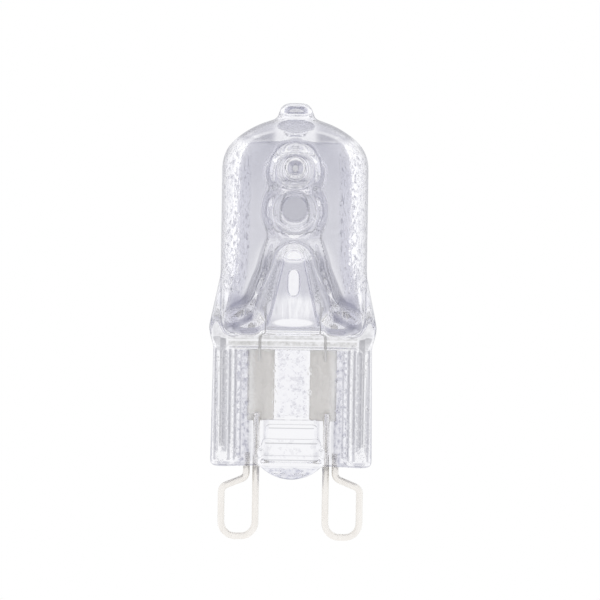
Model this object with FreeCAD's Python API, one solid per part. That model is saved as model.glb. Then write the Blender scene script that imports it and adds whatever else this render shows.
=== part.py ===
# Halogen capsule bulb with a pinched glass base and two wire contact loops.
# Millimetres. +Z runs up the bulb's axis to the sealed tip, X across the broad side of the
# pinch and Y through its thickness. The origin is the middle of the pinch's bottom face.
import FreeCAD, Part
import math
import os

V = FreeCAD.Vector

# Bulb tube and its dome
bulb_radius = 6.84
dome_top_z = 32.6
knuckle_radius = 3.4
crown_radius = 8.5
dome_wall = 1.4
side_wall = 1.4
flank_wall = 1.15

# Sealed tip, where the exhaust tube was melted off, and the bore that it leaves inside
tip_base_radius = 1.8
tip_top_radius = 1.5
tip_height = 1.3
tip_bevel = 0.5
tip_root = 0.4
tip_bore_radius = 1.5
tip_bore_end_radius = 0.9
tip_bore_depth = 1.1

# Pinch: the flat seal, with a bead down each narrow side
pinch_height = 11.2
pinch_bottom_width = 15.1
pinch_top_width = 14.8
bead_width = 1.5
bead_depth = 4.4
bead_round = 0.8
foot_round = 0.5
web_thickness = 2.8
web_slope_width = 1.7

# Shoulder: the ears at the narrow sides, and the flanks between the tube and the pinch
shoulder_width = 15.8
shoulder_z = 12.8
shoulder_round = 2.0
neck_round = 1.2
ear_top_z = 19.6
ear_sink = 0.4
flank_bottom_z = 12.7
flank_top_z = 15.3
flank_round = 2.0
flank_margin = 0.15

# Gas cavity: its slot-like floor, the widening foot and the bevelled crown under the dome
cavity_floor_z = 12.4
cavity_floor_depth = 1.4
cavity_foot_radius = 6.4
cavity_foot_z = 14.4
cavity_waist_z = 19.6
cavity_flank_bottom_z = 13.45
cavity_flank_top_z = 15.55
cavity_brow_drop = 2.8
cavity_bevel_drop = 1.2
cavity_bevel_width = 1.1

# Post that carries the filament: a dimple from each side, fused where their noses meet, and
# narrower there, so that the filament lies in a groove round it
post_z = 27.8
press_wall = 0.5
dimple_mouth_radius = 1.75
dimple_tip_radius = 1.5
dimple_nose_radius = 0.35
dimple_nose_length = 1.0
dimple_gap = 0.9
post_neck_radius = 1.2
post_neck_reach = 1.3

# Waist below the post: a shallower pair of dimples, which leaves a passage between the lobes
waist_z = 24.0
waist_mouth_radius = 1.85
waist_tip_radius = 1.4
waist_wall = 0.6
waist_passage = 1.4

# Web below the waist: a groove from each side, wider at the foot, with a thin gap between them
groove_z = 19.4
groove_mouth_radius = 2.0
groove_tip_radius = 1.15
groove_foot_half_width = 5.6
groove_tip_foot_half_width = 2.5
groove_inset = 0.05
web_corner_wall = 0.3
web_passage = 0.5

# Where the two walls of the web are fused: a lens-shaped spot and a narrow strip below it
web_spot_z = 20.0
web_spot_half_width = 1.2
web_spot_half_height = 0.6
web_strip_half_width = 0.35
web_strip_bottom_z = 15.9
web_strip_top_z = 18.4
web_weld_lap = 0.1

# Steps that the pinching jaws leave at the foot, and the tongue of glass below them
step_tops_z = [4.5, 3.6, 2.25, 0.65]
step_half_widths = [2.05, 2.1, 2.45, 2.8]
step_rise = 0.17
step_flare = 0.1
tongue_drop = 1.3
tongue_half_width = 2.95
tongue_thickness = 3.4
tongue_edge = 0.7
tongue_root = 1.5

# Foils and inner leads, sealed in the pinch
foil_width = 2.6
foil_length = 6.8
foil_thickness = 0.06
foil_bottom_z = 4.2
foil_x = 2.95
weld_flat = 0.05
lead_radius = 0.14
lead_x = 3.07
lead_lap = 1.2
lead_top_z = 15.0

# Contact loops
loop_wire_radius = 0.325
loop_inner_x = 3.27
loop_width = 3.2
loop_drop = 7.05
loop_return_x = 4.15
loop_lap = 0.7
loop_return_depth = 1.2
loop_neck_drop = 1.15
loop_shoulder_drop = 2.1
loop_bend_radius = 1.35
loop_neck_bend_radius = 0.7
loop_wire_flats = 12

# Filament: a coiled leg up each side of the web, joined by a plain arch over the post
filament_wire_width = 0.1
filament_lap = 1.0
filament_clearance = 0.02
coil_radius = 0.19
coil_pitch = 0.8
coil_steps = 6
coil_bottom_z = 15.3
coil_top_z = 26.5
arch_clearance = 0.12
arch_steps = 6

# How far a cutting or joining shape runs past the surface that it meets
overrun = 1.0


def solid_union(shapes):
    """One solid from overlapping ones, without seams between faces that continue each other."""
    joined = shapes[0].multiFuse(shapes[1:]).removeSplitter()
    return joined.Solids[0]


def mirrored(edges):
    return [edge.mirror(V(0, 0, 0), V(1, 0, 0)) for edge in edges]


def closed_face(edges):
    return Part.Face(Part.Wire(Part.sortEdges(edges)[0]))


def rounded_edges(points, radii):
    """Straight runs through the points, with a tangent arc of its own radius at each corner.

    A corner whose radius is 0 stays sharp.
    """
    edges = []
    start = points[0]
    for before, corner, after, radius in zip(points, points[1:], points[2:], radii):
        if radius == 0:
            edges.append(Part.LineSegment(start, corner).toShape())
            start = corner
            continue
        into = (before - corner).normalize()
        out = (after - corner).normalize()
        half_angle = into.getAngle(out) / 2
        cut_back = radius / math.tan(half_angle)
        enter = corner + into * cut_back
        leave = corner + out * cut_back
        bisector = (into + out).normalize()
        middle = corner + bisector * (radius / math.sin(half_angle) - radius)
        edges.append(Part.LineSegment(start, enter).toShape())
        edges.append(Part.Arc(enter, middle, leave).toShape())
        start = leave
    edges.append(Part.LineSegment(start, points[-1]).toShape())
    return edges


def turned(edges):
    return closed_face(edges).revolve(V(0, 0, 0), V(0, 0, 1), 360)


def domed_rod(bottom_z):
    """The outside of the tube as a full rod, with a crown arc and a knuckle arc at its top."""
    knuckle_x = bulb_radius - knuckle_radius
    crown_z = dome_top_z - crown_radius
    rise = math.sqrt((crown_radius - knuckle_radius) ** 2 - knuckle_x ** 2)
    meet_angle = math.atan2(rise, knuckle_x)
    crown_angle = (math.pi / 2 + meet_angle) / 2

    def on_arc(centre_x, centre_z, radius, angle):
        return V(centre_x + radius * math.cos(angle), 0, centre_z + radius * math.sin(angle))

    top = V(0, 0, dome_top_z)
    crown_middle = on_arc(0, crown_z, crown_radius, crown_angle)
    meet = on_arc(0, crown_z, crown_radius, meet_angle)
    knuckle_middle = on_arc(knuckle_x, crown_z + rise, knuckle_radius, meet_angle / 2)
    side_top = V(bulb_radius, 0, crown_z + rise)
    side_bottom = V(bulb_radius, 0, bottom_z)
    axis_bottom = V(0, 0, bottom_z)
    return turned([
        Part.Arc(top, crown_middle, meet).toShape(),
        Part.Arc(meet, knuckle_middle, side_top).toShape(),
        Part.LineSegment(side_top, side_bottom).toShape(),
        Part.LineSegment(side_bottom, axis_bottom).toShape(),
        Part.LineSegment(axis_bottom, top).toShape(),
    ])


def flank_bar(low_half_depth, low_z, high_half_depth, high_z, bottom_z, top_z, radius):
    """A bar along X that is thin below and thick above, with a sloping flank on both sides."""
    edges = []
    for side in (-1, 1):
        points = [V(0, side * low_half_depth, bottom_z), V(0, side * low_half_depth, low_z),
                  V(0, side * high_half_depth, high_z), V(0, side * high_half_depth, top_z)]
        edges += rounded_edges(points, [radius, radius])
    for half_depth, z in ((low_half_depth, bottom_z), (high_half_depth, top_z)):
        edges.append(Part.LineSegment(V(0, -half_depth, z), V(0, half_depth, z)).toShape())
    face = closed_face(edges)
    face.translate(V(-shoulder_width, 0, 0))
    return face.extrude(V(2 * shoulder_width, 0, 0))


def tube_body():
    """The domed tube, pressed in at the front and back towards the pinch."""
    press = flank_bar(bead_depth / 2, flank_bottom_z, bulb_radius + flank_margin, flank_top_z,
                      pinch_height - 2 * overrun, dome_top_z + overrun, flank_round)
    return domed_rod(pinch_height - overrun).common(press)


def foot_corner(side):
    """The sharp bottom corner of the pinch that its rounding takes away."""
    x = side * (pinch_bottom_width / 2 - foot_round)
    block = Part.makeBox(foot_round + overrun, 2 * bead_depth, foot_round + overrun,
                         V(x if side > 0 else x - foot_round - overrun, -bead_depth, -overrun))
    rod = Part.makeCylinder(foot_round, 2 * bead_depth, V(x, -bead_depth, foot_round), V(0, 1, 0))
    return block.cut(rod)


def pinch_slab():
    """The pinch and its ears: a thick plate, rounded along the edges of its narrow sides."""
    side_points = [
        V(pinch_bottom_width / 2, 0, 0),
        V(pinch_top_width / 2, 0, pinch_height),
        V(shoulder_width / 2, 0, shoulder_z),
        V(bulb_radius - ear_sink, 0, ear_top_z),
    ]
    half = rounded_edges(side_points, [neck_round, shoulder_round])
    sole = Part.LineSegment(V(-pinch_bottom_width / 2, 0, 0), side_points[0]).toShape()
    cap = Part.LineSegment(V(ear_sink - bulb_radius, 0, ear_top_z), side_points[-1]).toShape()
    face = closed_face(half + mirrored(half) + [sole, cap])
    face.translate(V(0, -bead_depth / 2, 0))
    slab = face.extrude(V(0, bead_depth, 0))
    rims = [edge for edge in slab.Edges
            if abs(edge.CenterOfMass.x) > bead_width and abs(edge.CenterOfMass.y) > bead_round]
    slab = slab.makeFillet(bead_round, rims)
    return slab.cut(Part.makeCompound([foot_corner(-1), foot_corner(1)]))


def web_pocket(side):
    """What the jaws press out of one broad side, between the two beads."""
    mouth_y = bead_depth / 2 + overrun
    floor_y = web_thickness / 2
    bead_inner = pinch_top_width / 2 - bead_width
    floor_half = bead_inner - web_slope_width
    slope = web_slope_width / (bead_depth / 2 - floor_y)
    mouth_half = bead_inner + overrun * slope
    corners = [V(-floor_half, side * floor_y, 0), V(floor_half, side * floor_y, 0),
               V(mouth_half, side * mouth_y, 0), V(-mouth_half, side * mouth_y, 0)]
    face = Part.Face(Part.makePolygon(corners + corners[:1]))
    face.translate(V(0, 0, -overrun))
    return face.extrude(V(0, 0, pinch_height + overrun))


def foot_steps():
    """The stepped boss at the foot of the web, the same at the front and the back."""
    steps = []
    for count, (top_z, half_width) in enumerate(zip(step_tops_z, step_half_widths), 1):
        half_depth = web_thickness / 2 + step_rise * count
        below = half_width + step_flare
        corners = [V(-below, -half_depth, 0), V(below, -half_depth, 0),
                   V(half_width, -half_depth, top_z), V(-half_width, -half_depth, top_z)]
        steps.append(Part.Face(Part.makePolygon(corners + corners[:1])).extrude(V(0, 2 * half_depth, 0)))
    return steps


def tongue():
    """The lens-shaped lip of glass that hangs below the pinch, between the loops."""
    radius = (tongue_half_width ** 2 + tongue_drop ** 2) / (2 * tongue_drop)
    disc = Part.makeCylinder(radius, tongue_thickness,
                             V(0, -tongue_thickness / 2, radius - tongue_drop), V(0, 1, 0))
    rims = [edge for edge in disc.Edges if edge.Closed]
    disc = disc.makeChamfer(tongue_edge, rims)
    keep = Part.makeBox(2 * radius, tongue_thickness, tongue_drop + tongue_root,
                        V(-radius, -tongue_thickness / 2, -tongue_drop))
    below = disc.common(keep)
    side_stop = Part.makeBox(2 * tongue_half_width, tongue_thickness, tongue_drop + tongue_root,
                             V(-tongue_half_width, -tongue_thickness / 2, -tongue_drop))
    return below.common(side_stop)


def sealed_tip():
    """The blob left where the exhaust tube was melted off, on top of the dome."""
    sag = crown_radius - math.sqrt(crown_radius ** 2 - tip_base_radius ** 2)
    height = tip_height + sag + tip_root
    blob = Part.makeCone(tip_base_radius, tip_top_radius, height, V(0, 0, dome_top_z - sag - tip_root))
    top_rim = [edge for edge in blob.Edges if edge.Closed and edge.CenterOfMass.z > dome_top_z]
    return blob.makeChamfer(tip_bevel, top_rim)


def dimple(side, centre_z, mouth_radius, tip_radius, tip_y):
    """A conical dimple pressed in from one side, on the bulb's axis."""
    length = bulb_radius + overrun - tip_y
    return Part.makeCone(tip_radius, mouth_radius, length, V(0, side * tip_y, centre_z), V(0, side, 0))


def dimple_nose(side, nose_radius, tip_radius, nose_y, tip_y):
    """The tapering end of the post's dimple, which points at the one from the other side."""
    return Part.makeCone(nose_radius, tip_radius, tip_y - nose_y,
                         V(0, side * nose_y, post_z), V(0, side, 0))


def groove(side, mouth_radius, mouth_foot, tip_radius, tip_foot, tip_y):
    """A groove pressed in from one side: conical at its top, and wider from there to its foot."""
    sections = []
    ends = ((mouth_radius, mouth_foot, bulb_radius + overrun), (tip_radius, tip_foot, tip_y))
    for half, foot_half, y in ends:
        top_half = half - groove_inset
        corners = [V(-foot_half, side * y, cavity_floor_z), V(foot_half, side * y, cavity_floor_z),
                   V(top_half, side * y, groove_z), V(-top_half, side * y, groove_z)]
        sections.append(Part.makePolygon(corners + corners[:1]))
    wedge = Part.makeLoft(sections, True, True)
    return [dimple(side, groove_z, mouth_radius, tip_radius, tip_y), wedge]


def outer_presses():
    """The dimples and grooves as they are cut into the outside of the glass."""
    nose_y = dimple_gap / 2
    tip_y = nose_y + dimple_nose_length
    shapes = []
    for side in (-1, 1):
        shapes.append(dimple_nose(side, dimple_nose_radius, dimple_tip_radius, nose_y, tip_y))
        shapes.append(dimple(side, post_z, dimple_mouth_radius, dimple_tip_radius, tip_y))
        shapes.append(dimple(side, waist_z, waist_mouth_radius, waist_tip_radius,
                             waist_passage / 2 + waist_wall))
        shapes += groove(side, groove_mouth_radius, groove_foot_half_width,
                         groove_tip_radius, groove_tip_foot_half_width, web_passage / 2 + press_wall)
    return Part.makeCompound(shapes)


def web_welds():
    """The spot and the strip in which the walls of the web are fused."""
    half_depth = web_passage / 2 + web_weld_lap
    rim = Part.Ellipse(V(0, 0, 0), web_spot_half_width, web_spot_half_height).toShape()
    spot = Part.Face(Part.Wire(rim)).extrude(V(0, 0, 2 * half_depth))
    spot.rotate(V(0, 0, 0), V(1, 0, 0), 90)
    spot.translate(V(0, half_depth, web_spot_z))
    strip = Part.makeBox(2 * web_strip_half_width, 2 * half_depth, web_strip_top_z - web_strip_bottom_z,
                         V(-web_strip_half_width, -half_depth, web_strip_bottom_z))
    return [spot, strip]


def inner_presses():
    """The glass round the dimples and grooves, which joins in the middle as post and welds."""
    post_radius = dimple_tip_radius + press_wall
    shapes = web_welds()
    for side in (-1, 1):
        shapes.append(dimple_nose(side, post_neck_radius, post_radius, 0, post_neck_reach))
        shapes.append(dimple(side, post_z, dimple_mouth_radius + press_wall, post_radius,
                             post_neck_reach))
        shapes.append(dimple(side, waist_z, waist_mouth_radius + press_wall,
                             waist_tip_radius + press_wall, waist_passage / 2))
        shapes += groove(side, groove_mouth_radius + press_wall, groove_foot_half_width + press_wall,
                         groove_tip_radius + web_corner_wall,
                         groove_tip_foot_half_width + web_corner_wall, web_passage / 2)
    return Part.makeCompound(shapes)


def cavity():
    """The gas space inside the bulb: two lobes beside the web, joined above and below the post."""
    inner_radius = bulb_radius - side_wall
    top_z = dome_top_z - dome_wall
    profile = [
        V(0, 0, cavity_floor_z),
        V(cavity_foot_radius, 0, cavity_floor_z),
        V(cavity_foot_radius, 0, cavity_foot_z),
        V(inner_radius, 0, cavity_waist_z),
        V(inner_radius, 0, top_z - cavity_brow_drop),
        V(inner_radius - cavity_bevel_width, 0, top_z - cavity_bevel_drop),
        V(tip_bore_radius, 0, top_z),
        V(tip_bore_end_radius, 0, top_z + tip_bore_depth),
        V(0, 0, top_z + tip_bore_depth),
    ]
    bell = turned(Part.makePolygon(profile + profile[:1]).Edges)
    press = flank_bar(cavity_floor_depth / 2, cavity_flank_bottom_z,
                      bulb_radius + flank_margin - flank_wall, cavity_flank_top_z,
                      cavity_floor_z - overrun, dome_top_z + overrun, 0)
    return bell.common(press).cut(inner_presses())


def foil(side):
    """The thin foil that makes the gas-tight seal in the pinch."""
    return Part.makeBox(foil_width, foil_thickness, foil_length,
                        V(side * foil_x - foil_width / 2, -foil_thickness / 2, foil_bottom_z))


def welded_y(wire_radius):
    """Where the middle of a wire lies that is welded to the front of the foils."""
    return weld_flat - foil_thickness / 2 - wire_radius


def inner_lead(side):
    """The stiff wire from the foil up into the bulb, with its lower end flattened on the foil."""
    bottom = foil_bottom_z + foil_length - lead_lap
    wire = Part.makeCylinder(lead_radius, lead_top_z - bottom,
                             V(side * lead_x, welded_y(lead_radius), bottom))
    return wire.cut(foil(side))


def contact_loop(side):
    """One wire contact loop, with its upper end flattened on the foil."""
    outer_x = loop_inner_x + loop_width
    bottom_z = loop_wire_radius - loop_drop
    y = welded_y(loop_wire_radius)
    points = [
        V(loop_inner_x, y, foil_bottom_z + loop_lap),
        V(loop_inner_x, y, bottom_z),
        V(outer_x, y, bottom_z),
        V(outer_x, y, -loop_shoulder_drop),
        V(loop_return_x, y, -loop_neck_drop),
        V(loop_return_x, y, loop_return_depth),
    ]
    edges = rounded_edges(points, [loop_bend_radius, loop_bend_radius,
                                   loop_neck_bend_radius, loop_neck_bend_radius])
    corners = []
    for flat in range(loop_wire_flats + 1):
        angle = (2 * flat + 1) * math.pi / loop_wire_flats
        corners.append(points[0] + V(math.cos(angle), math.sin(angle), 0) * loop_wire_radius)
    wire = Part.Wire(edges).makePipeShell([Part.makePolygon(corners)], True, False)
    if side < 0:
        wire = wire.mirror(V(0, 0, 0), V(1, 0, 0))
    return wire.cut(foil(side)).Solids[0]


def filament():
    """One wire: a tail beside each lead, a coiled leg above it and an arch over the post's neck."""
    tail_x = lead_x - lead_radius - filament_wire_width / 2 - filament_clearance
    arch_radius = post_neck_radius + filament_wire_width / 2 + arch_clearance
    coil_low = V(tail_x - coil_radius, welded_y(lead_radius), coil_bottom_z)
    coil_high = V(arch_radius - coil_radius, 0, coil_top_z)
    turns = round((coil_top_z - coil_bottom_z) / coil_pitch)
    half = [V(tail_x, coil_low.y, lead_top_z - filament_lap)]
    for step in range(turns * coil_steps + 1):
        centre = coil_low + (coil_high - coil_low) * (step / (turns * coil_steps))
        angle = 2 * math.pi * step / coil_steps
        half.append(centre + V(math.cos(angle), math.sin(angle), 0) * coil_radius)
    for step in range(arch_steps):
        angle = math.pi / 2 * step / arch_steps
        half.append(V(arch_radius * math.cos(angle), 0, post_z + arch_radius * math.sin(angle)))
    top = V(0, 0, post_z + arch_radius)
    other_half = [V(-point.x, point.y, point.z) for point in reversed(half)]
    path = Part.makePolygon(half + [top] + other_half)
    corner = filament_wire_width / 2
    section = [half[0] + V(x * corner, y * corner, 0) for x, y in ((-1, -1), (1, -1), (1, 1), (-1, 1))]
    right_corners = 1
    return path.makePipeShell([Part.makePolygon(section + section[:1])], True, False, right_corners)


def glass_envelope(sealed_in):
    """The whole blown and pinched glass body, with room for the metal parts sealed into it."""
    outer = solid_union([tube_body(), pinch_slab(), sealed_tip()])
    outer = outer.cut(Part.makeCompound([web_pocket(-1), web_pocket(1)]))
    outer = solid_union([outer] + foot_steps() + [tongue()])
    outer = outer.cut(outer_presses())
    return outer.cut(cavity()).cut(Part.makeCompound(sealed_in))


def main():
    os.makedirs("parts", exist_ok=True)
    parts = {}
    for side, word in ((-1, "left"), (1, "right")):
        parts[f"seal_foil_{word}"] = foil(side)
        parts[f"inner_lead_{word}"] = inner_lead(side)
        parts[f"contact_loop_{word}"] = contact_loop(side)
    parts["glass_envelope"] = glass_envelope(list(parts.values()))
    parts["filament"] = filament()
    for node, shape in parts.items():
        shape.exportStep(f"parts/{node}.step")
        volume = round(shape.Volume, 2)
        print(node, "solids", len(shape.Solids), "volume", volume, "valid", shape.isValid())


main()
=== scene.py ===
import math

import bmesh
import bpy
from mathutils import Matrix, Vector, noise


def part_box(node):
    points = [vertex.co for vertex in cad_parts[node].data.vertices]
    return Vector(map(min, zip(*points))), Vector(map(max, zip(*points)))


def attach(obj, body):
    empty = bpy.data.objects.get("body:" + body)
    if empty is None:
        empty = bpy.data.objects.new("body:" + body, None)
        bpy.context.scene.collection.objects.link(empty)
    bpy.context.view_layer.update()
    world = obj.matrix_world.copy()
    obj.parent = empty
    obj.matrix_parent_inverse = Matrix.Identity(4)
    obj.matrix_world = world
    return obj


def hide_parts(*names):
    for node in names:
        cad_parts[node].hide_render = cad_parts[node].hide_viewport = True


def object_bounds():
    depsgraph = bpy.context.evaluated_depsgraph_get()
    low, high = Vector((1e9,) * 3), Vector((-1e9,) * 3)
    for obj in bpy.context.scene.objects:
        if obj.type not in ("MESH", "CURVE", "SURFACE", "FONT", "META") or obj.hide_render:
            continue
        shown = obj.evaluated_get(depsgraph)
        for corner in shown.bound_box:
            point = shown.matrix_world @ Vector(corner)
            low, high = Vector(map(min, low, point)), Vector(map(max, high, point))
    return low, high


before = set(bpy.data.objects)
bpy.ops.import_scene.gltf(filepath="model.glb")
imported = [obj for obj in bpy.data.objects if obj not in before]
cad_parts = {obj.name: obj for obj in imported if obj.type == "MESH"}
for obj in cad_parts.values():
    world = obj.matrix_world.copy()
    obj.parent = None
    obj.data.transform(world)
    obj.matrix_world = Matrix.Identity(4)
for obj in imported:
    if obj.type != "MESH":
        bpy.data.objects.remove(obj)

# Halogen capsule bulb, in metres: +Z up the bulb, +X to the right and +Y to the back.
# The origin is the middle of the pinch's bottom face.

mm = 0.001
cadLow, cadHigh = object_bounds()
print("frame loaded:", ", ".join(sorted(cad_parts)))

sides = ((-1, "Left"), (1, "Right"))
longGrain = (1, 1, 0.15)  # stretches a noise up the bulb
# a Mix node's colour sockets go by number, because its other sockets have the same names
mixSockets = {"colour": 6, "tint": 7, "result": 2}


# Each material is made of nodes on object coordinates, which are metres here.

def newMaterial(name, shaderValues):
    material = bpy.data.materials.new(name)
    material.use_nodes = True
    shader = material.node_tree.nodes["Principled BSDF"]
    for socket, value in shaderValues.items():
        shader.inputs[socket].default_value = value
    return material, material.node_tree, shader


def objectPoint(tree, stretch=(1, 1, 1), shift=(0, 0, 0)):
    place = tree.nodes.new("ShaderNodeTexCoord")
    mapping = tree.nodes.new("ShaderNodeMapping")
    mapping.inputs["Scale"].default_value = stretch
    mapping.inputs["Location"].default_value = shift
    tree.links.new(place.outputs["Object"], mapping.inputs["Vector"])
    return mapping.outputs["Vector"]


def splitPoint(tree, point):
    split = tree.nodes.new("ShaderNodeSeparateXYZ")
    tree.links.new(point, split.inputs["Vector"])
    return split.outputs


def noiseOn(tree, point, size, detail=2):  # its patches are about this size in metres
    texture = tree.nodes.new("ShaderNodeTexNoise")
    texture.inputs["Scale"].default_value = 1 / size
    texture.inputs["Detail"].default_value = detail
    tree.links.new(point, texture.inputs["Vector"])
    return texture.outputs["Fac"]


def spread(tree, value, low, high, toLow=0.0, toHigh=1.0):  # a soft step between low and high
    mapRange = tree.nodes.new("ShaderNodeMapRange")
    mapRange.interpolation_type = "SMOOTHSTEP"
    ends = {"From Min": low, "From Max": high, "To Min": toLow, "To Max": toHigh}
    for socket, number in ends.items():
        mapRange.inputs[socket].default_value = number
    tree.links.new(value, mapRange.inputs["Value"])
    return mapRange.outputs["Result"]


def combine(tree, operation, first, second=0):
    node = tree.nodes.new("ShaderNodeMath")
    node.operation = operation
    for socket, value in zip(node.inputs, (first, second)):
        if isinstance(value, (int, float)):
            socket.default_value = value
        else:
            tree.links.new(value, socket)
    return node.outputs["Value"]


def times(tree, first, second):
    return combine(tree, "MULTIPLY", first, second)


def blendColours(tree, factor, low, high):
    ramp = tree.nodes.new("ShaderNodeValToRGB")
    ramp.color_ramp.elements[0].color = (*low, 1)
    ramp.color_ramp.elements[1].color = (*high, 1)
    tree.links.new(factor, ramp.inputs["Fac"])
    return ramp.outputs["Color"]


def tinted(tree, colour, mask, tint, blend="MULTIPLY"):
    mix = tree.nodes.new("ShaderNodeMix")
    mix.data_type = "RGBA"
    mix.blend_type = blend
    tree.links.new(mask, mix.inputs["Factor"])
    tree.links.new(colour, mix.inputs[mixSockets["colour"]])
    mix.inputs[mixSockets["tint"]].default_value = (*tint, 1)
    return mix.outputs[mixSockets["result"]]


def addBump(tree, shader, height, depth, normal=None):
    bump = tree.nodes.new("ShaderNodeBump")
    bump.inputs["Distance"].default_value = depth
    tree.links.new(height, bump.inputs["Height"])
    if normal is not None:
        tree.links.new(normal, bump.inputs["Normal"])
    tree.links.new(bump.outputs["Normal"], shader.inputs["Normal"])
    return bump.outputs["Normal"]


def within(tree, value, low, high, edge):  # 1 between two places and 0 outside, with soft edges
    return times(tree, spread(tree, value, low - edge, low + edge),
                 spread(tree, value, high - edge, high + edge, 1, 0))


def patch(tree, across, height, widths, heights, edge):  # the same in a rectangle, in millimetres
    left, right = widths
    bottom, top = heights
    return times(tree, within(tree, across, left * mm, right * mm, edge * mm),
                 within(tree, height, bottom * mm, top * mm, edge * mm))


def fromAxis(tree, split):
    squares = [times(tree, split[axis], split[axis]) for axis in "XY"]
    return combine(tree, "SQRT", combine(tree, "ADD", *squares))


def ellipse(tree, across, height, middle, reach):  # less than 1 inside it and more outside
    sideways = combine(tree, "DIVIDE", combine(tree, "SUBTRACT", across, middle[0]), reach[0])
    upwards = combine(tree, "DIVIDE", combine(tree, "SUBTRACT", height, middle[1]), reach[1])
    return combine(tree, "ADD", times(tree, sideways, sideways), times(tree, upwards, upwards))


glassFinish = {
    "ior": 1.46,
    "waveSize": 2.2 * mm,
    "waveDepth": 0.02 * mm,
    "speckSize": 0.42 * mm,
    "speckDepth": 0.05 * mm,
    "speckEdges": (0.53, 0.66),  # the part of the noise that stands up
    "speckSides": (5.0 * mm, 5.4 * mm),  # specks begin here, towards the tube's sides
    "smoothFoot": (11.4 * mm, 16.4 * mm),  # but there are none at the bulb's foot
    "pressedHeights": (4.6 * mm, 11.0 * mm),  # and they cross the pinch here
    "bandEdge": 0.2 * mm,
    "darkSpecks": (0.58, 0.64),  # the part of the noise that is painted dark
    "mottleMiddle": 0.5,
    "mottleLeast": 0.3,  # how much of a tint is left in the palest mottling
    "rimEdges": (0.58, 0.92),  # how far a surface has turned away before its painted shade begins
    "rimRadii": (5.6 * mm, 6.3 * mm),
    "rimAbove": (30.3 * mm, 30.9 * mm),
    "rimBelow": (-0.3 * mm, 0.0),
    "outerColour": (0.98, 0.98, 0.985),
    # painted shade: the rim colours darken the glass where it is seen along its surface
    "outerRim": (0.10, 0.10, 0.13),
    # painted shade: the inner wall is tinted grey, so the gas space behind it looks darker
    "wallColour": (0.68, 0.68, 0.725),
    "wallRim": (0.30, 0.30, 0.34),
}
# painted shade, where the pressed glass looks darker: |x| and z in millimetres, soft edge, tint,
# mottling;
# a range of |x| that starts at -1 takes in the middle
outerShadeTones = (
    ((4.00, 5.15), (0.3, 10.9), 0.12, (0.54, 0.54, 0.60), 0.4),  # slopes inside the beads
    ((5.20, 5.42), (0.6, 11.0), 0.05, (0.44, 0.44, 0.48), 0.0),  # bead's inner line
    ((5.70, 5.95), (0.6, 11.0), 0.05, (0.44, 0.44, 0.48), 0.0),  # bead's second line
    ((6.20, 6.74), (1.9, 12.0), 0.05, (0.54, 0.54, 0.56), 0.0),  # bead's core
    ((7.40, 7.58), (0.3, 11.0), 0.04, (0.50, 0.50, 0.56), 0.0),  # pinch's outer edge
    ((3.20, 7.50), (0.02, 0.20), 0.04, (0.50, 0.50, 0.56), 0.0),  # pinch's bottom edge
    ((7.04, 7.24), (0.6, 11.0), 0.05, (0.48, 0.48, 0.52), 0.0),  # bead's outer line
    ((6.20, 8.00), (11.6, 15.6), 0.30, (0.74, 0.74, 0.75), 0.3),  # ears
    ((6.70, 6.82), (14.2, 18.3), 0.05, (0.42, 0.42, 0.47), 0.0),  # bulb's side inside the ears
    ((5.20, 6.60), (13.5, 29.0), 0.30, (0.86, 0.86, 0.89), 0.5),  # bulb's sides
    ((2.10, 2.60), (0.4, 4.5), 0.10, (0.74, 0.74, 0.77), 0.5),  # inside each pair of wires
    ((3.70, 4.10), (0.4, 4.5), 0.10, (0.74, 0.74, 0.77), 0.5),  # outside each pair of wires
    ((-1.0, 1.35), (4.6, 10.9), 0.15, (0.94, 0.94, 0.96), 0.2),  # middle, between the foils
    ((-1.0, 6.0), (11.95, 12.30), 0.08, (0.64, 0.64, 0.63), 0.3),  # ledge's upper band
    ((-1.0, 6.0), (11.35, 11.75), 0.10, (0.60, 0.60, 0.58), 0.3),  # ledge's lower band
    ((-1.0, 5.9), (11.10, 11.24), 0.05, (0.50, 0.50, 0.54), 0.0),  # line under the ledge
    ((-1.0, 2.06), (4.32, 4.42), 0.04, (0.45, 0.45, 0.48), 0.4),  # steps, from the top down
    ((-1.0, 2.12), (3.56, 3.64), 0.04, (0.40, 0.40, 0.42), 0.0),
    ((-1.0, 2.45), (2.14, 2.24), 0.04, (0.40, 0.40, 0.42), 0.0),
    ((-1.0, 2.80), (0.60, 0.68), 0.04, (0.40, 0.40, 0.44), 0.0),
    ((-1.0, 3.20), (-2.0, -0.1), 0.10, (0.70, 0.71, 0.79), 0.3),  # lip
    ((3.3, 6.0), (12.7, 16.2), 0.50, (0.62, 0.62, 0.68), 0.0),  # cavity's lower corners
    ((5.0, 6.4), (13.0, 15.0), 0.30, (0.56, 0.56, 0.63), 0.0),  # outer part of those corners
    ((-1.0, 1.3), (15.6, 19.2), 0.25, (0.94, 0.94, 0.96), 0.5),  # web's panel
    ((-1.0, 0.75), (26.6, 28.6), 0.15, (0.64, 0.64, 0.66), 0.0),  # middle of the post
    ((-1.0, 2.2), (31.9, 35.0), 0.15, (0.90, 0.90, 0.93), 0.5),  # sealed tip
)
# painted shade on the inner wall, in the same columns as above
wallShadeTones = (
    ((-1.0, 1.3), (22.7, 25.3), 0.10, (0.78, 0.78, 0.80), 0.0),  # waist's dimple
    ((-1.0, 7.0), (27.0, 40.0), 4.00, (0.82, 0.82, 0.86), 0.0),  # darker towards the dome
    ((4.60, 5.70), (14.0, 28.0), 0.40, (0.90, 0.90, 0.95), 0.0),  # cavity's sides
)
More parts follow.
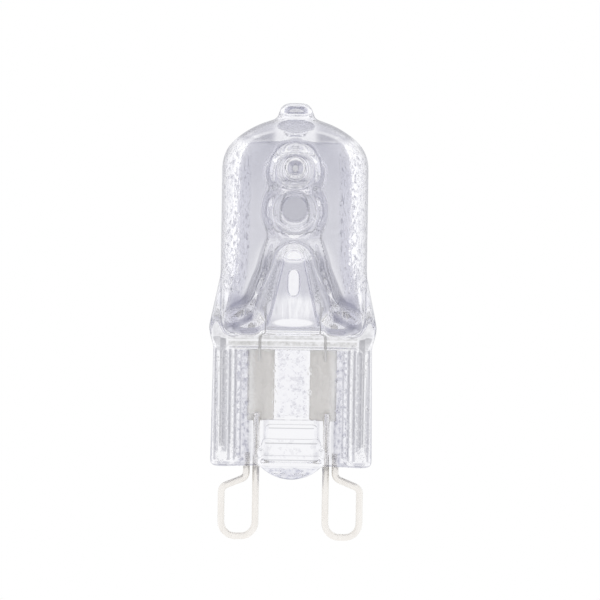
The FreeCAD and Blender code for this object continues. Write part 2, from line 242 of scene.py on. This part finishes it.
# small pressed specks, bumped in pressSurface, with painted shade on them: |x| and z in
# millimetres, soft edge, tint
speckled = (
    ((5.3, 6.75), (16.6, 29.5), 0.1, (0.42, 0.42, 0.47)),  # bulb's sides
    ((-1.0, 1.35), (4.6, 10.9), 0.1, (0.72, 0.72, 0.75)),  # between the foils
    ((4.0, 5.15), (0.3, 10.9), 0.1, (0.66, 0.66, 0.71)),  # slopes
    ((-1.0, 3.00), (-1.2, 0.0), 0.1, (0.66, 0.66, 0.71)),  # lip
    ((-1.0, 2.50), (0.8, 2.1), 0.1, (0.84, 0.84, 0.86)),  # lowest step
)
# edges, here and below, are in the measure of ellipse(), which is 1 on its line
domeShade = {
    "above": (30.2 * mm, 30.8 * mm),
    "middle": 28.9 * mm,
    "reach": (5.4 * mm, 2.7 * mm),
    "tipReach": (1.6 * mm, 2.4 * mm),  # it stays clear round the foot of the tip
    "innerEdges": (0.88, 0.96),
    "innerTint": (0.40, 0.40, 0.45),
    "outerEdges": (1.04, 1.12),
    "outerTint": (0.62, 0.62, 0.67),
}
bulbFoot = {
    "middle": (5.3 * mm, 14.2 * mm),
    "reach": (1.48 * mm, 1.75 * mm),
    "edges": (0.92, 1.06),
    "softness": 0.04,
    "fadeAcross": 0.2 * mm,
    "fadeUp": 0.1 * mm,
    "tint": (0.42, 0.42, 0.47),
}
lipEdge = {
    "reach": (3.05 * mm, 1.36 * mm),
    "edges": (0.68, 0.80),
    "tint": (0.42, 0.44, 0.54),
}
dimpleRing = {
    "level": 24.0 * mm,
    "reach": 1.30 * mm,
    "outside": 1.5,
    "softness": 0.06,
    "below": (23.4 * mm, 24.2 * mm),
}
webShade = {
    "top": 20.7 * mm,
    "bottom": 14.7 * mm,
    "topReach": 2.3 * mm,
    "flare": 0.46,
    "panelReach": 1.35 * mm,
    "panelFlare": 0.24,
    "edge": 0.15 * mm,
    "endEdges": 3,  # its ends are this many times as soft as its sides
    "wallTint": (0.74, 0.74, 0.76),
    "outerTint": (0.84, 0.84, 0.85),
    "streakWidth": 1.5 * mm,
    "streak": 0.45,
}
spotEdges = {
    "outside": 1.1,
    "streaks": (0.35, 0.6),
}
# painted highlights, where the inner wall's painted shade goes back to clear: middle and reach in
# millimetres, softness, streaks
highlightSpots = (
    ((0.0, 20.1), (2.1, 1.2), 0.4, 0.0),  # lens-shaped spot, where the walls are fused
    ((0.0, 14.8), (3.4, 1.6), 0.9, 0.75),  # flare at the web's foot
    ((0.0, 13.35), (2.1, 0.42), 0.4, 0.0),  # its lower edge
    ((1.35, 27.8), (0.6, 1.3), 0.6, 0.0),  # light each side of the post
)


def shadeDome(tree, colour, across, height):  # painted shade over the top of the cavity
    shade = domeShade
    away = ellipse(tree, across, height, (0, shade["middle"]), shade["reach"])
    above = times(tree, spread(tree, height, *shade["above"]),
                  spread(tree, across, *shade["tipReach"]))
    outer = times(tree, above, spread(tree, away, *shade["outerEdges"]))
    inner = times(tree, above, spread(tree, away, *shade["innerEdges"], 1, 0))
    colour = tinted(tree, colour, outer, shade["outerTint"])
    return tinted(tree, colour, inner, shade["innerTint"])


def shadeFoot(tree, colour, across, height):  # painted shade: the bulb's round foot, as a dark line inside the ears
    foot = bulbFoot
    left, level = foot["middle"]
    away = ellipse(tree, across, height, foot["middle"], foot["reach"])
    corner = times(tree, spread(tree, across, left, left + foot["fadeAcross"]),
                   spread(tree, height, level - foot["fadeUp"], level, 1, 0))
    line = times(tree, within(tree, away, *foot["edges"], foot["softness"]), corner)
    return tinted(tree, colour, line, foot["tint"])


def shadeLip(tree, colour, across, height):  # painted shade along the lip's rounded edge
    away = ellipse(tree, across, height, (0, 0), lipEdge["reach"])
    edge = times(tree, spread(tree, away, *lipEdge["edges"]),
                 spread(tree, height, *glassFinish["rimBelow"], 1, 0))
    return tinted(tree, colour, edge, lipEdge["tint"])


def shadeRing(tree, colour, across, height):  # painted highlight: a bright crescent under the waist's dimple
    ring = dimpleRing
    away = ellipse(tree, across, height, (0, ring["level"]), (ring["reach"], ring["reach"]))
    crescent = times(tree, within(tree, away, 1, ring["outside"], ring["softness"]),
                     spread(tree, height, *ring["below"], 1, 0))
    return tinted(tree, colour, crescent, glassFinish["outerColour"], "MIX")


def besideSlant(tree, across, down, reach, flare):  # how far outside a slanting line a place is
    slant = combine(tree, "ADD", times(tree, down, flare), reach)
    return combine(tree, "SUBTRACT", across, slant)


# painted shade on the slopes each side of the web's panel, and a painted highlight streak just
# outside them
def shadeWeb(tree, colour, across, height, tint, streakColour=None):
    shade = webShade
    edge = shade["edge"]
    down = combine(tree, "SUBTRACT", shade["top"], height)
    outside = besideSlant(tree, across, down, shade["topReach"], shade["flare"])
    inside = besideSlant(tree, across, down, shade["panelReach"], shade["panelFlare"])
    level = within(tree, height, shade["bottom"], shade["top"], shade["endEdges"] * edge)
    slope = times(tree, spread(tree, outside, -edge, edge, 1, 0), spread(tree, inside, -edge, edge))
    colour = tinted(tree, colour, times(tree, slope, level), tint)
    if streakColour:
        streak = times(tree, spread(tree, outside, 0, edge),
                       spread(tree, outside, edge, shade["streakWidth"], shade["streak"], 0))
        colour = tinted(tree, colour, times(tree, streak, level), streakColour, "MIX")
    return colour


def shadeTones(tree, colour, across, height, mottle, tones):
    middle, least = glassFinish["mottleMiddle"], glassFinish["mottleLeast"]
    for widths, heights, edge, tint, mottled in tones:
        mask = patch(tree, across, height, widths, heights, edge)
        if mottled:
            low, high = middle - mottled / 2, middle + mottled / 2
            mask = times(tree, mask, spread(tree, mottle, low, high, least, 1))
        colour = tinted(tree, colour, mask, tint)
    return colour


def shadeSpecks(tree, colour, across, height, mottle):
    dark = spread(tree, mottle, *glassFinish["darkSpecks"])
    for widths, heights, edge, tint in speckled:
        region = patch(tree, across, height, widths, heights, edge)
        colour = tinted(tree, colour, times(tree, region, dark), tint)
    return colour


# painted highlights: the wall's colour is mixed back to clear glass in each spot
def paintHighlights(tree, colour, across, height):
    streaks = noiseOn(tree, objectPoint(tree, longGrain), glassFinish["speckSize"], detail=3)
    for (middle, level), (reach, rise), soft, streaked in highlightSpots:
        away = ellipse(tree, across, height, (middle * mm, level * mm), (reach * mm, rise * mm))
        mask = spread(tree, away, 1 - soft, spotEdges["outside"], 1, 0)
        if streaked:
            kept = spread(tree, streaks, *spotEdges["streaks"], 1 - streaked, 1)
            mask = times(tree, mask, kept)
        colour = tinted(tree, colour, mask, glassFinish["outerColour"], "MIX")
    return colour


def rimShadeMask(tree, split):  # painted shade: the glass is tinted darker where it is seen along its surface
    slant = tree.nodes.new("ShaderNodeLayerWeight").outputs["Facing"]
    tube = spread(tree, fromAxis(tree, split), *glassFinish["rimRadii"])
    dome = spread(tree, split["Z"], *glassFinish["rimAbove"])
    foot = spread(tree, split["Z"], *glassFinish["rimBelow"], 1, 0)
    place = combine(tree, "MAXIMUM", combine(tree, "MAXIMUM", tube, dome), foot)
    return times(tree, spread(tree, slant, *glassFinish["rimEdges"]), place)


def pressSurface(tree, shader, point, across, height):  # soft waves, and specks on top of them
    finish = glassFinish
    wave = noiseOn(tree, point, finish["waveSize"], detail=1)
    waved = addBump(tree, shader, wave, finish["waveDepth"])
    foot = within(tree, height, *finish["smoothFoot"], finish["bandEdge"])
    side = times(tree, spread(tree, across, *finish["speckSides"]),
                 combine(tree, "SUBTRACT", 1, foot))
    pressed = within(tree, height, *finish["pressedHeights"], finish["bandEdge"])
    speck = spread(tree, noiseOn(tree, point, finish["speckSize"]), *finish["speckEdges"])
    bumps = times(tree, speck, combine(tree, "MAXIMUM", side, pressed))
    addBump(tree, shader, bumps, finish["speckDepth"], waved)


def makeGlassMaterial(name, faceColour, rimColour, tones, isWall):
    material, tree, shader = newMaterial(name, {
        "IOR": glassFinish["ior"],
        "Transmission Weight": 1.0,
        "Roughness": 0.0,
    })
    point = objectPoint(tree)
    split = splitPoint(tree, point)
    across = combine(tree, "ABSOLUTE", split["X"])
    height = split["Z"]
    colour = blendColours(tree, rimShadeMask(tree, split), faceColour, rimColour)
    mottle = noiseOn(tree, point, glassFinish["speckSize"], detail=3)
    colour = shadeTones(tree, colour, across, height, mottle, tones)
    if isWall:
        colour = shadeWeb(tree, colour, across, height, webShade["wallTint"],
                          glassFinish["outerColour"])
        colour = shadeRing(tree, colour, across, height)
        colour = paintHighlights(tree, colour, across, height)
    else:
        colour = shadeSpecks(tree, colour, across, height, mottle)
        colour = shadeWeb(tree, colour, across, height, webShade["outerTint"])
        colour = shadeDome(tree, colour, across, height)
        colour = shadeLip(tree, colour, across, height)
        colour = shadeFoot(tree, colour, across, height)
    tree.links.new(colour, shader.inputs["Base Color"])
    pressSurface(tree, shader, point, across, height)
    return material


grainShape = {
    "edges": (0.3, 0.7),  # the part of the noise that changes the gloss
    "depth": 0.003 * mm,
}
nickelFinish = {
    "colours": ((0.74, 0.71, 0.66), (0.86, 0.84, 0.80)),
    "roughness": (0.08, 0.16),
    "grainSize": 0.25 * mm,
    "metallic": 0.5,
    "pale": {  # painted light: the part that is sealed in the glass is made paler, to look bright through the glass
        "axis": "Z",
        "mirrored": False,
        "places": (0, 0.4 * mm),
        "colour": (0.97, 0.96, 0.94),
        "metallic": 1.0,
    },
}
leadFinish = {
    "colours": ((0.80, 0.79, 0.77), (0.90, 0.89, 0.87)),
    "roughness": (0.3, 0.45),
    "grainSize": 0.2 * mm,
    "metallic": 0.3,
}
tungstenFinish = {
    "colours": ((0.66, 0.66, 0.68), (0.78, 0.78, 0.80)),
    "roughness": (0.35, 0.5),
    "grainSize": 0.1 * mm,
    "metallic": 0.4,
}
foilFinish = {
    "colours": ((0.78, 0.76, 0.72), (0.92, 0.90, 0.86)),
    "roughness": (0.3, 0.55),
    "grainSize": 0.5 * mm,
    "metallic": 0.4,
    "pale": {  # each foil's outer part is paler
        "axis": "X",
        "mirrored": True,
        "places": (3.3 * mm, 3.8 * mm),
        "colour": (0.96, 0.95, 0.92),
        "metallic": 0.5,
    },
}


def makeMetal(name, finish):  # long grain, with small changes of colour and gloss
    material, tree, shader = newMaterial(name, {"Metallic": finish["metallic"]})
    grain = noiseOn(tree, objectPoint(tree, longGrain), finish["grainSize"], detail=3)
    colour = blendColours(tree, grain, *finish["colours"])
    pale = finish.get("pale")
    if pale:
        place = splitPoint(tree, objectPoint(tree))[pale["axis"]]
        if pale["mirrored"]:
            place = combine(tree, "ABSOLUTE", place)
        share = spread(tree, place, *pale["places"])
        colour = tinted(tree, colour, share, pale["colour"], "MIX")
        metallic = spread(tree, place, *pale["places"], finish["metallic"], pale["metallic"])
        tree.links.new(metallic, shader.inputs["Metallic"])
    tree.links.new(colour, shader.inputs["Base Color"])
    gloss = spread(tree, grain, *grainShape["edges"], *finish["roughness"])
    tree.links.new(gloss, shader.inputs["Roughness"])
    addBump(tree, shader, grain, grainShape["depth"])
    return material


glassMaterial = makeGlassMaterial("clearGlass", glassFinish["outerColour"],
                                  glassFinish["outerRim"], outerShadeTones, False)
wallMaterial = makeGlassMaterial("bulbInnerWall", glassFinish["wallColour"],
                                 glassFinish["wallRim"], wallShadeTones, True)
nickelWire = makeMetal("nickelWire", nickelFinish)
leadWire = makeMetal("leadWireGrey", leadFinish)
tungstenWire = makeMetal("tungstenGrey", tungstenFinish)
foilMaterial = makeMetal("foilGrey", foilFinish)
print("materials made")


def meshFrom(bm, name):
    mesh = bpy.data.meshes.new(name)
    bm.to_mesh(mesh)
    bm.free()
    return mesh


def linked(name, data):
    obj = bpy.data.objects.new(name, data)
    bpy.context.scene.collection.objects.link(obj)
    return obj


def finishPiece(bm, name, materials, nodes):
    mesh = meshFrom(bm, name)
    mesh.shade_smooth()
    piece = linked(name, mesh)
    for material in materials:
        mesh.materials.append(material)
    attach(piece, "root")
    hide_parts(*nodes)
    print(name, len(mesh.polygons), "faces")


def eased(value, low, high):
    share = min(max((value - low) / (high - low), 0), 1)
    return share * share * (3 - 2 * share)


def hump(distance, width):
    return math.exp(-(distance / width) ** 2 / 2)


glassShape = {
    "outerVoxel": 0.182 * mm,  # a finer one takes the glass past 200,000 triangles
    "wallVoxel": 0.23 * mm,
    "bulbSmoothing": 16,
    "pinchSmoothing": 2,
    "wallSmoothing": 10,
    "bellSmoothing": 60,  # the cavity's sides and top, away from the post and the web
    "smoothingFactor": 0.5,
    "bellRadii": (4.8 * mm, 5.4 * mm),
    "domeHeights": (29.6 * mm, 30.8 * mm),
    "pinchTop": 12.0 * mm,
    "waistHeight": 24.0 * mm,
    "waistGrowth": 0.2,
    "waistRadii": (1.4 * mm, 2.9 * mm),
    "waistFade": 0.1 * mm,
    "mergeDistance": 0.0001 * mm,
    "seam": 0.01 * mm,
}
pinchMarks = {
    "faceFrom": 1.2 * mm,  # how far the front and back faces are from the middle, at least
    "beadFoot": 5.5 * mm,
    "beadMiddle": 6.7 * mm,
    "beadHalfWidth": 0.30 * mm,
    "beadDepth": 0.30 * mm,
    "beadFrom": 1.6 * mm,
    "beadTo": 10.6 * mm,
    "beadEnd": 0.5 * mm,
    "stepHeights": (4.5 * mm, 3.6 * mm, 2.25 * mm, 0.65 * mm),
    "stepHalfWidth": 2.5 * mm,
    "stepFade": 0.3 * mm,
    "stepLine": 0.06 * mm,
    "stepDepth": 0.05 * mm,
}


# takes away the hollows that the sealed metal fills, and closes the glass over them
def fillMetalPockets(bm):
    seam = glassShape["seam"]
    metal = [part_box(node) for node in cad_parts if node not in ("glass_envelope", "filament")]
    pocket = []
    for face in bm.faces:
        middle = face.calc_center_median()
        if abs(middle.z) < seam:  # the pinch's bottom face, where the loops leave it
            continue
        for low, high in metal:
            if all(low[i] - seam < v.co[i] < high[i] + seam for v in face.verts for i in range(3)):
                pocket.append(face)
                break
    bmesh.ops.delete(bm, geom=pocket, context="FACES")
    closeEnds(bm)


def closeEnds(bm):
    bmesh.ops.holes_fill(bm, edges=[edge for edge in bm.edges if edge.is_boundary], sides=0)


def smoothed(bm, verts, rounds):
    for _ in range(rounds):
        bmesh.ops.smooth_vert(bm, verts=verts, factor=glassShape["smoothingFactor"],
                              use_axis_x=True, use_axis_y=True, use_axis_z=True)


def remeshed(bm, voxel):
    draft = linked("draft", meshFrom(bm, "draft"))
    remesh = draft.modifiers.new("even", "REMESH")
    remesh.mode = "VOXEL"
    remesh.voxel_size = voxel
    evaluated = draft.evaluated_get(bpy.context.evaluated_depsgraph_get())
    even = bpy.data.meshes.new_from_object(evaluated)
    bpy.data.objects.remove(draft)
    result = bmesh.new()
    result.from_mesh(even)
    return result


# sinks the channel down each bead, and the lines along the tops of the steps
def pressPinch(bm):
    marks = pinchMarks
    for vert in bm.verts:
        x, y, z = abs(vert.co.x), abs(vert.co.y), vert.co.z
        if z > glassShape["pinchTop"] or y < marks["faceFrom"]:
            continue
        inward = -math.copysign(1, vert.co.y)
        if x > marks["beadFoot"]:
            overEnd = max(marks["beadFrom"] - z, z - marks["beadTo"], 0)
            channel = hump(x - marks["beadMiddle"], marks["beadHalfWidth"])
            fade = hump(overEnd, marks["beadEnd"] / 2)
            vert.co.y += inward * marks["beadDepth"] * channel * fade
        if x < marks["stepHalfWidth"] + marks["stepFade"]:
            line = max(hump(z - height, marks["stepLine"]) for height in marks["stepHeights"])
            vert.co.y += inward * marks["stepDepth"] * line


def reachedFrom(start):  # every vertex that is joined to this one
    reached = {start}
    front = [start]
    while front:
        for edge in front.pop().link_edges:
            for vert in edge.verts:
                if vert not in reached:
                    reached.add(vert)
                    front.append(vert)
    return reached


def widenWaist(bm):
    for vert in bm.verts:
        across = Vector((vert.co.x, 0, vert.co.z - glassShape["waistHeight"]))
        grown = glassShape["waistGrowth"] * (1 - eased(across.length, *glassShape["waistRadii"]))
        vert.co += across * grown * eased(abs(vert.co.y), 0, glassShape["waistFade"])


def splitGlass():  # the outside of the glass, and the wall of its gas space
    whole = bmesh.new()
    whole.from_mesh(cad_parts["glass_envelope"].data)
    bmesh.ops.remove_doubles(whole, verts=whole.verts, dist=glassShape["mergeDistance"])
    fillMetalPockets(whole)
    outside = reachedFrom(max(whole.verts, key=lambda v: v.co.z))
    widenWaist(whole)
    inner = whole.copy()
    outerIndex = {v.index for v in outside}
    inner.verts.ensure_lookup_table()
    outerCopy = [v for v in inner.verts if v.index in outerIndex]
    bmesh.ops.delete(inner, geom=outerCopy, context="VERTS")
    bmesh.ops.delete(whole, geom=[v for v in whole.verts if v not in outside], context="VERTS")
    bmesh.ops.recalc_face_normals(inner, faces=inner.faces)
    return whole, inner


def shapeOutside(bm):
    outer = remeshed(bm, glassShape["outerVoxel"])
    smoothed(outer, outer.verts, glassShape["pinchSmoothing"])
    bulb = [v for v in outer.verts if v.co.z > glassShape["pinchTop"]]
    smoothed(outer, bulb, glassShape["bulbSmoothing"])
    pressPinch(outer)
    return outer


def shapeWall(bm):
    wall = remeshed(bm, glassShape["wallVoxel"])
    smoothed(wall, wall.verts, glassShape["wallSmoothing"])
    places = [v.co.copy() for v in wall.verts]
    smoothed(wall, wall.verts, glassShape["bellSmoothing"])
    for vert, place in zip(wall.verts, places):
        bell = max(eased(math.hypot(place.x, place.y), *glassShape["bellRadii"]),
                   eased(place.z, *glassShape["domeHeights"]))
        vert.co = place.lerp(vert.co, bell)
    bmesh.ops.reverse_faces(wall, faces=wall.faces)  # they face the gas
    for face in wall.faces:
        face.material_index = 1
    return wall


def makeGlass():
    whole, inner = splitGlass()
    body = shapeOutside(whole)
    body.from_mesh(meshFrom(shapeWall(inner), "wallDraft"))
    finishPiece(body, "glassBody", [glassMaterial, wallMaterial],
                ["glass_envelope"])


makeGlass()


def newEnd(bm, made, oldEnd):
    if oldEnd.is_valid:
        bmesh.ops.delete(bm, geom=[oldEnd], context="FACES_ONLY")  # or it is left inside the wire
    return next(item for item in made if isinstance(item, bmesh.types.BMFace))


def drawnOut(bm, end):
    return newEnd(bm, bmesh.ops.extrude_face_region(bm, geom=[end])["geom"], end)


def spunOut(bm, end, **turn):
    spun = bmesh.ops.spin(bm, geom=[end, *end.edges, *end.verts], **turn)
    return newEnd(bm, spun["geom_last"], end)


def wireEnd(bm, segments, radius, matrix):
    ring = bmesh.ops.create_circle(bm, cap_ends=True, segments=segments, radius=radius,
                                   matrix=matrix)
    return next(face for face in bm.faces if ring["verts"][0] in face.verts)


loopShape = {
    "radius": 0.325 * mm,
    "sides": 16,
    "start": (3.27 * mm, -0.305 * mm, 4.9 * mm),  # in the glass, on the foil
    "bendStep": 9,  # degrees
    "steps": (  # each run's length, or each bend's degrees and radius
        ("run", 10.26 * mm, 0),
        ("bend", -90, 1.35 * mm),
        ("run", 0.5 * mm, 0),
        ("bend", -90, 1.35 * mm),
        ("run", 2.79 * mm, 0),
        ("bend", -67.7, 0.7 * mm),
        ("run", 1.567 * mm, 0),
        ("bend", 67.7, 0.7 * mm),
        ("run", 1.88 * mm, 0),
    ),
}


def bentWire(bm, shape):  # it starts downwards, and bends in its own XZ plane
    place = Vector(shape["start"])
    heading = Vector((0, 0, -1))
    bendStep = math.radians(shape["bendStep"])
    end = wireEnd(bm, shape["sides"], shape["radius"], Matrix.Translation(place))
    for kind, amount, bendRadius in shape["steps"]:
        if kind == "run":
            end = drawnOut(bm, end)
            bmesh.ops.translate(bm, vec=heading * amount, verts=end.verts)
            place = place + heading * amount
        else:
            turn = math.radians(amount)
            across = Matrix.Rotation(math.copysign(math.pi / 2, turn), 3, "Y") @ heading
            centre = place + across * bendRadius
            count = max(2, round(abs(turn) / bendStep))  # at least two steps to a bend
            end = spunOut(bm, end, cent=centre, axis=(0, 1, 0), angle=turn, steps=count)
            rotation = Matrix.Rotation(turn, 3, "Y")
            place = centre + rotation @ (place - centre)
            heading = rotation @ heading
    closeEnds(bm)


def makeLoop(side, word):
    bm = bmesh.new()
    bentWire(bm, loopShape)
    if side < 0:
        bmesh.ops.scale(bm, vec=(-1, 1, 1), verts=bm.verts)
    bmesh.ops.recalc_face_normals(bm, faces=bm.faces)
    finishPiece(bm, f"contactLoop{word}", [nickelWire],
                [f"contact_loop_{word.lower()}"])


for side, word in sides:
    makeLoop(side, word)


foilShape = {
    "cells": (26, 68),
    "thickness": 0.03 * mm,
    "creaseSize": 0.9 * mm,
    "creaseDepth": 0.05 * mm,
    "creaseMiddle": 0.6,
    "creaseFade": 4,  # a higher power takes the creases nearer to the edges
    "creaseStart": (7, 0, 3),  # a place in the noise, other for each side
    "ragged": 0.04 * mm,
    "raggedSize": 0.4 * mm,
}


def makeFoil(side, word):  # creased, and flat along its edges, where the flat solid is
    shape = foilShape
    node = f"seal_foil_{word.lower()}"
    low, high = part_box(node)
    middle = (low + high) / 2
    size = high - low
    startX, startY, startZ = shape["creaseStart"]
    start = Vector((side * startX, startY, startZ))
    bm = bmesh.new()
    columns, rows = shape["cells"]
    bmesh.ops.create_grid(bm, x_segments=columns, y_segments=rows, size=0.5)  # 1 across
    bmesh.ops.scale(bm, vec=(size.x, size.z, 1), verts=bm.verts)
    bmesh.ops.rotate(bm, cent=(0, 0, 0), matrix=Matrix.Rotation(math.pi / 2, 3, "X"),
                     verts=bm.verts)
    bmesh.ops.translate(bm, vec=middle, verts=bm.verts)
    for vert in bm.verts:
        ridge = 1 - 2 * abs(noise.noise(vert.co / shape["creaseSize"] + start))
        edgeNearness = abs(vert.co.x - middle.x) / (size.x / 2)
        flat = 1 - edgeNearness ** shape["creaseFade"]
        vert.co.y += shape["creaseDepth"] * (ridge - shape["creaseMiddle"]) * flat
        bite = abs(noise.noise(Vector((0, 0, vert.co.z / shape["raggedSize"]))))
        inward = -math.copysign(shape["ragged"], vert.co.x - middle.x)
        vert.co.x += inward * bite * edgeNearness
    bmesh.ops.solidify(bm, geom=bm.faces, thickness=shape["thickness"])
    bmesh.ops.recalc_face_normals(bm, faces=bm.faces)
    finishPiece(bm, f"sealFoil{word}", [foilMaterial], [node])


for side, word in sides:
    makeFoil(side, word)


filamentShape = {
    "wireRadius": 0.05 * mm,
    "wireSides": 8,
    "coilRadius": 0.19 * mm,
    "turns": 28,
    "turnSteps": 14,
    "tailBottom": 14.0 * mm,
    "legBottom": Vector((2.67, -0.12, 15.3)) * mm,
    "legTop": Vector((1.18, 0, 26.5)) * mm,
    "archCentre": 27.8 * mm,
    "archSteps": 20,
    "mergeDistance": 0.001 * mm,
}


# one fine wire: a tail, a coiled leg up each side of the web, and an arch over the post
def makeFilament():
    shape = filamentShape
    rise = shape["legTop"] - shape["legBottom"]
    steps = shape["turns"] * shape["turnSteps"]
    quarterTurn = math.pi / 2
    bm = bmesh.new()
    end = wireEnd(bm, shape["wireSides"], shape["wireRadius"],
                  Matrix.Translation((shape["coilRadius"], 0, 0))
                  @ Matrix.Rotation(quarterTurn, 4, "X"))
    foot = list(end.verts)
    end = spunOut(bm, end, cent=(0, 0, 0), axis=(0, 0, 1), angle=math.tau * shape["turns"],
                  steps=steps, dvec=(0, 0, rise.z / steps))
    lean = Matrix.Identity(4)
    lean[0][2] = rise.x / rise.z
    lean[1][2] = rise.y / rise.z
    bmesh.ops.transform(bm, matrix=Matrix.Translation(shape["legBottom"]) @ lean, verts=bm.verts)
    end = drawnOut(bm, end)
    middle = end.calc_center_median()
    archStart = Vector((shape["legTop"].x + shape["coilRadius"], 0, shape["archCentre"]))
    bmesh.ops.rotate(bm, cent=middle, matrix=Matrix.Rotation(quarterTurn, 3, "X"), verts=end.verts)
    bmesh.ops.translate(bm, vec=archStart - middle, verts=end.verts)
    end = spunOut(bm, end, cent=(0, 0, shape["archCentre"]), axis=(0, 1, 0), angle=-quarterTurn,
                  steps=shape["archSteps"])
    bmesh.ops.delete(bm, geom=[end], context="FACES_ONLY")  # the mirror joins the arch here
    end = drawnOut(bm, bm.faces.new(foot))
    middle = end.calc_center_median()
    bmesh.ops.rotate(bm, cent=middle, matrix=Matrix.Rotation(quarterTurn, 3, "X"), verts=end.verts)
    bmesh.ops.translate(bm, vec=Vector((0, 0, shape["tailBottom"] - middle.z)), verts=end.verts)
    bmesh.ops.mirror(bm, geom=[*bm.verts, *bm.edges, *bm.faces], axis="X",
                     merge_dist=shape["mergeDistance"])
    bmesh.ops.recalc_face_normals(bm, faces=bm.faces)
    finishPiece(bm, "coiledFilament", [tungstenWire], ["filament"])


makeFilament()

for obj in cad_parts.values():  # the inner leads are kept as the solids have them
    if not obj.hide_render:
        obj.data.materials.clear()
        obj.data.materials.append(leadWire)
print("pieces made")


studio = {
    "target": (0.62 * mm, 0, 15.5 * mm),
    "distance": 0.6,
    "elevation": 4,  # degrees, as is the lean
    "lean": 0.9,
    "viewWidth": 56.07 * mm,
    "clip": (0.01, 20),
    "floorSize": 6.0,
    "floorCells": 4,
    "floorGap": 0.01 * mm,
    "white": (1.0, 1.0, 1.0),
    # the room's tones by degrees from the backdrop
    "walls": ((0.0, 0.94), (9.0, 0.93), (18.0, 1.0), (34.0, 1.02), (42.0, 1.12), (180.0, 1.12)),
    "wallsTo": 180,
    "tint": (1.0, 1.0, 1.02),
    "bulbMiddle": 15 * mm,
}
# light goes round inside thick glass many times
lightBounces = {"max": 32, "glossy": 16, "transmission": 32}


def tonesAlong(tree, value, low, high, tones):  # greys from pairs of place and tone
    ramp = tree.nodes.new("ShaderNodeValToRGB")
    stops = ramp.color_ramp.elements
    while len(stops) < len(tones):
        stops.new(0.5)  # each gets its own place below
    for stop, (place, tone) in zip(stops, tones):
        stop.position = (place - low) / (high - low)
        stop.color = (tone, tone, tone, 1)
    share = tree.nodes.new("ShaderNodeMapRange")
    share.inputs["From Min"].default_value = low
    share.inputs["From Max"].default_value = high
    tree.links.new(value, share.inputs["Value"])
    tree.links.new(share.outputs["Result"], ramp.inputs["Fac"])
    return ramp.outputs["Color"]


def roomColour(tree, split):  # its tone depends on how far round from the backdrop it is
    turn = combine(tree, "ABSOLUTE", combine(tree, "ARCTAN2", split["X"], split["Y"]))
    degrees = combine(tree, "DEGREES", turn)
    tone = tonesAlong(tree, degrees, 0, studio["wallsTo"], studio["walls"])
    scaled = tree.nodes.new("ShaderNodeVectorMath")
    scaled.operation = "SCALE"
    scaled.inputs[0].default_value = studio["tint"]
    tree.links.new(tone, scaled.inputs["Scale"])
    return scaled.outputs["Vector"]


def seenWhite(tree, colour):  # the camera sees plain white, and the glass shows the room
    path = tree.nodes.new("ShaderNodeLightPath")
    return tinted(tree, colour, path.outputs["Is Camera Ray"], studio["white"], "MIX")


def makeFloor():
    bm = bmesh.new()
    cells = studio["floorCells"]
    bmesh.ops.create_grid(bm, x_segments=cells, y_segments=cells, size=studio["floorSize"] / 2,
                          matrix=Matrix.Translation((0, 0, cadLow.z - studio["floorGap"])))
    mesh = meshFrom(bm, "floor")
    floor = linked("floor", mesh)
    material = bpy.data.materials.new("paleFloor")
    material.use_nodes = True
    tree = material.node_tree
    tree.nodes.remove(tree.nodes["Principled BSDF"])
    glow = tree.nodes.new("ShaderNodeEmission")
    split = splitPoint(tree, objectPoint(tree, shift=(0, 0, -studio["bulbMiddle"])))
    tree.links.new(seenWhite(tree, roomColour(tree, split)), glow.inputs["Color"])
    tree.links.new(glow.outputs["Emission"], tree.nodes["Material Output"].inputs["Surface"])
    mesh.materials.append(material)


def makeLight():
    world = bpy.data.worlds.new("softRoom")
    bpy.context.scene.world = world
    world.use_nodes = True
    tree = world.node_tree
    place = tree.nodes.new("ShaderNodeTexCoord")
    colour = roomColour(tree, splitPoint(tree, place.outputs["Generated"]))
    tree.links.new(seenWhite(tree, colour), tree.nodes["Background"].inputs["Color"])


def placeCamera():
    data = bpy.data.cameras.new("camera")
    camera = linked("camera", data)
    bpy.context.scene.camera = camera
    up = math.radians(studio["elevation"])
    back = Vector((0, -math.cos(up), math.sin(up)))
    camera.location = Vector(studio["target"]) + back * studio["distance"]
    turn = (-back).to_track_quat("-Z", "Y").to_matrix().to_4x4()
    lean = Matrix.Rotation(math.radians(studio["lean"]), 4, "Z")
    camera.matrix_world = Matrix.Translation(camera.location) @ turn @ lean
    data.lens = data.sensor_width * studio["distance"] / studio["viewWidth"]
    data.clip_start, data.clip_end = studio["clip"]


makeFloor()
makeLight()
placeCamera()
bpy.context.scene.view_settings.view_transform = "Standard"
for kind, count in lightBounces.items():
    setattr(bpy.context.scene.cycles, f"{kind}_bounces", count)
print("studio made")
